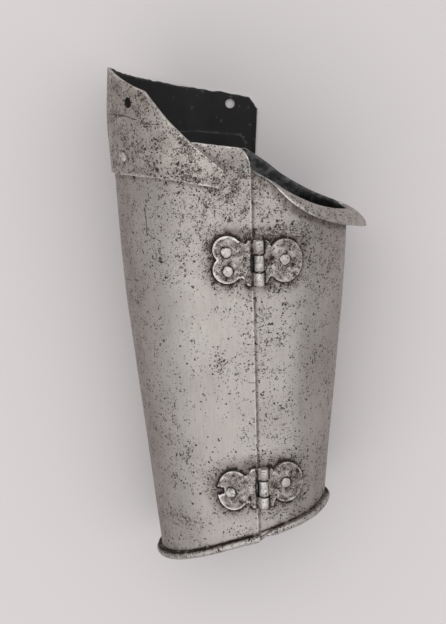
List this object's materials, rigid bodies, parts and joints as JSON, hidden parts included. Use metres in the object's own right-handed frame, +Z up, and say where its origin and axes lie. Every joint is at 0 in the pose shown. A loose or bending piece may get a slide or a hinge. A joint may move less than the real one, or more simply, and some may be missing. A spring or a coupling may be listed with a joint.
{
  "type": "vambrace",
  "caption": "Tapering steel lower-arm defence: two hinged plates round a hollow, rolled wrist hem, turned-out elbow flange, riveted elbow extension with lacing holes.",
  "frame": {"origin": "bottom centre of the box of the object as it lies with its hinges up", "axes": "+Y along the limb from the wrist to the elbow, +Z up through the hinges, +X to the hinged inner plate"},
  "size_m": [0.122, 0.2314, 0.096],
  "materials": {
    "plate_steel": "worn, pitted, dull polish",
    "extension_steel": "densely pitted, dull",
    "hinge_steel": "worn, dark in the joints",
    "pin_steel": "dark tarnish",
    "rivet_steel": "rubbed bright"
  },
  "bodies": {
    "outer_half": {"outer_plate": "plate_steel", "elbow_extension": "extension_steel", "upper_outer_leaf": "hinge_steel", "lower_outer_leaf": "hinge_steel", "upper_pin": "pin_steel", "lower_pin": "pin_steel", "upper_outer_rivet_a": "rivet_steel", "upper_outer_rivet_b": "rivet_steel", "lower_outer_rivet": "rivet_steel", "extension_rivet_near": "rivet_steel", "extension_rivet_far": "rivet_steel"},
    "inner_half": {"inner_plate": "plate_steel", "upper_inner_leaf": "hinge_steel", "lower_inner_leaf": "hinge_steel", "upper_inner_rivet": "rivet_steel", "lower_inner_rivet": "rivet_steel", "closing_stud": "rivet_steel"}
  },
  "joints": [
    {"name": "plate_hinge", "type": "hinge", "parent": "outer_half", "child": "inner_half", "pos_m": [0.00803, 0.02483, 0.08902], "axis": [0.0002, -0.9907, -0.1358], "range_deg": [0, 110]}
  ]
}
